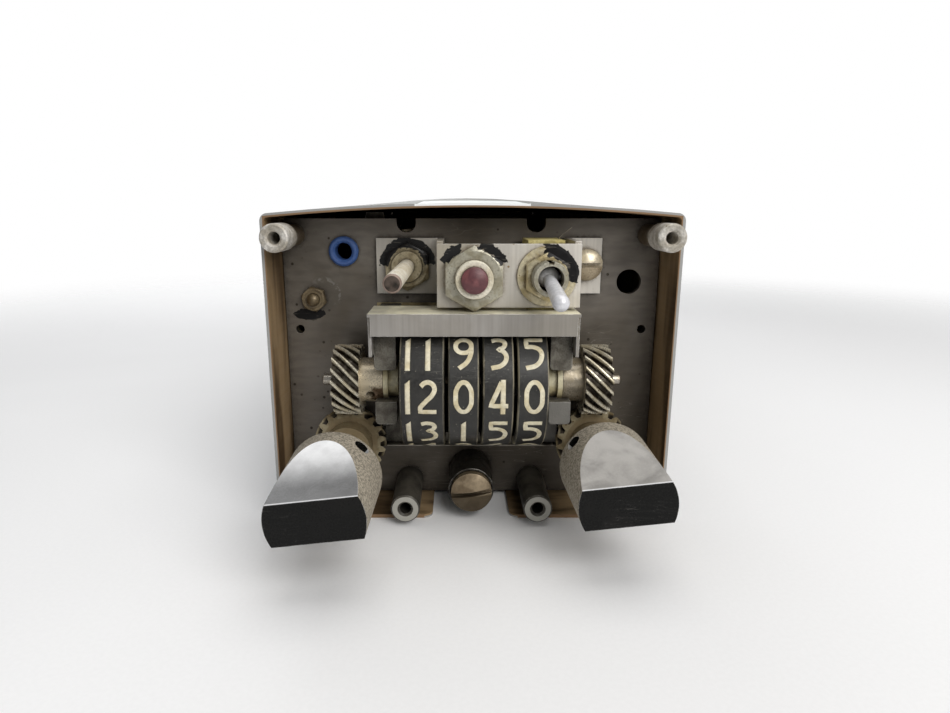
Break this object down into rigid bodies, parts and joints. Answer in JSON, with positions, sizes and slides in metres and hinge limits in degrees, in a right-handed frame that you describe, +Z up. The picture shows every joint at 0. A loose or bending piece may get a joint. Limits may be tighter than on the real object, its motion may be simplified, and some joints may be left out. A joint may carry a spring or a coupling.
{
  "type": "aircraft navigation receiver without bezel",
  "caption": "Panel-mounted aircraft receiver with its front bezel off: bar knobs drive number drums through crossed helical gears inside a sheet-metal dust cover.",
  "frame": {"origin": "below the middle of the whole receiver, on the plane that the dust cover stands on", "axes": "+X to the right seen from the front, +Y from the front panel to the back, +Z up"},
  "size_m": [0.0826, 0.2978, 0.0684],
  "materials": {
    "cover_paint": "satin grey paint, worn to metal at the edges",
    "plate_finish": "dark dull conversion coating, scratched",
    "tray_metal": "dull chromate",
    "zinc_steel": "plated, slightly dull",
    "dull_aluminium": "dull oxide",
    "bare_aluminium": "bare brushed sheet",
    "dark_steel": "dark, slightly rusty",
    "gold_cadmium": "yellow passivated plating, worn",
    "old_nickel": "old nickel plating",
    "old_brass": "brown patina",
    "bright_chrome": "bright",
    "maroon_plastic": "deep maroon moulding",
    "phenolic": "brown laminate",
    "ceramic": "pale glazed block",
    "blue_nylon": "blue moulding",
    "cast_metal": "rough die casting",
    "cream_nylon": "cream moulding",
    "drum_black": "black moulding",
    "gear_nickel": "dirty between the teeth",
    "gear_brass": "dull, greasy",
    "black_knob": "black moulding with grey dust",
    "board_green": "varnished glass laminate",
    "black_moulding": "black moulding"
  },
  "bodies": {
    "chassis": {"dust_cover": "cover_paint", "front_plate": "plate_finish", "chassis_tray": "tray_metal", "rear_panel": "tray_metal", "cover_screws": "zinc_steel", "rear_panel_screws": "zinc_steel", "upper_standoffs": "dull_aluminium", "lower_standoffs": "dull_aluminium", "lock_screw_sleeve": "dark_steel", "switch_bracket": "bare_aluminium", "bracket_screw": "gold_cadmium", "bracket_screw_washer": "zinc_steel", "volume_body": "dull_aluminium", "volume_nut": "old_nickel", "button_body": "zinc_steel", "button_nut": "old_nickel", "toggle_body": "phenolic", "toggle_bushing": "old_nickel", "toggle_washer": "gold_cadmium", "toggle_nut": "gold_cadmium", "trimmer_body": "ceramic", "trimmer_nut": "old_nickel", "grommet": "blue_nylon", "window_mask": "bare_aluminium", "drum_frame": "cast_metal", "drum_bearings": "cream_nylon", "shaft_bushes": "old_brass", "detent_springs": "old_brass", "switch_decks": "phenolic", "main_board": "board_green", "tuning_cans": "bare_aluminium", "shield_box": "dull_aluminium", "crystal_board": "board_green", "antenna_jack": "old_nickel", "rear_connector": "black_moulding"},
    "units": {"units_drum": "drum_black", "units_shaft": "zinc_steel", "units_pinion": "gear_nickel"},
    "tens": {"tens_drum": "drum_black"},
    "tenths": {"tenths_drum": "drum_black"},
    "hundredths": {"hundredths_drum": "drum_black", "hundredths_shaft": "zinc_steel", "hundredths_pinion": "gear_nickel"},
    "left_control": {"left_knob": "black_knob", "left_set_screws": "dark_steel", "left_shaft": "zinc_steel", "left_drive_gear": "gear_brass", "left_detent_wheel": "zinc_steel", "left_rotors": "phenolic"},
    "right_control": {"right_knob": "black_knob", "right_set_screws": "dark_steel", "right_shaft": "zinc_steel", "right_drive_gear": "gear_brass", "right_detent_wheel": "zinc_steel", "right_rotors": "phenolic"},
    "lock": {"lock_screw": "gold_cadmium"},
    "volume": {"volume_shaft": "zinc_steel"},
    "button": {"button_plunger": "maroon_plastic"},
    "toggle": {"toggle_lever": "bright_chrome"},
    "trimmer": {"trimmer_shaft": "old_brass"}
  },
  "joints": [
    {"name": "left_knob_turn", "type": "hinge", "parent": "chassis", "child": "left_control", "pos_m": [-0.0258, -0.1044, 0.01605], "axis": [0, 1, 0], "continuous": true},
    {"name": "units_drum_turn", "type": "hinge", "parent": "chassis", "child": "units", "pos_m": [0, -0.1124, 0.0299], "axis": [1, 0, 0], "continuous": true},
    {"name": "tens_drum_turn", "type": "hinge", "parent": "chassis", "child": "tens", "pos_m": [0, -0.1124, 0.0299], "axis": [1, 0, 0], "continuous": true},
    {"name": "right_knob_turn", "type": "hinge", "parent": "chassis", "child": "right_control", "pos_m": [0.0258, -0.1044, 0.01605], "axis": [0, 1, 0], "continuous": true},
    {"name": "hundredths_drum_turn", "type": "hinge", "parent": "chassis", "child": "hundredths", "pos_m": [0, -0.1124, 0.0299], "axis": [1, 0, 0], "continuous": true},
    {"name": "tenths_drum_turn", "type": "hinge", "parent": "chassis", "child": "tenths", "pos_m": [0, -0.1124, 0.0299], "axis": [1, 0, 0], "continuous": true},
    {"name": "lock_screw_turn", "type": "hinge", "parent": "chassis", "child": "lock", "pos_m": [0, -0.1044, 0.0065], "axis": [0, 1, 0], "continuous": true},
    {"name": "volume_turn", "type": "hinge", "parent": "chassis", "child": "volume", "pos_m": [-0.0135, -0.1044, 0.053], "axis": [0, 1, 0], "range_deg": [-150, 150]},
    {"name": "trimmer_turn", "type": "hinge", "parent": "chassis", "child": "trimmer", "pos_m": [-0.03385, -0.1044, 0.0458], "axis": [0, 1, 0], "range_deg": [-90, 90]},
    {"name": "toggle_flip", "type": "hinge", "parent": "chassis", "child": "toggle", "pos_m": [0.0142, -0.12105, 0.0522], "axis": [-1, 0, 0], "range_deg": [0, 25.8]},
    {"name": "button_press", "type": "slide", "parent": "chassis", "child": "button", "axis": [0, 1, 0], "range_m": [0, 0.0015], "stiffness_N_per_m": 800, "springref_m": -0.001}
  ],
  "couplings": [
    {"joint": "units_drum_turn", "follows": "left_knob_turn", "ratio": -1},
    {"joint": "tens_drum_turn", "follows": "left_knob_turn", "ratio": -0.1},
    {"joint": "hundredths_drum_turn", "follows": "right_knob_turn", "ratio": -1},
    {"joint": "tenths_drum_turn", "follows": "right_knob_turn", "ratio": -0.5}
  ]
}
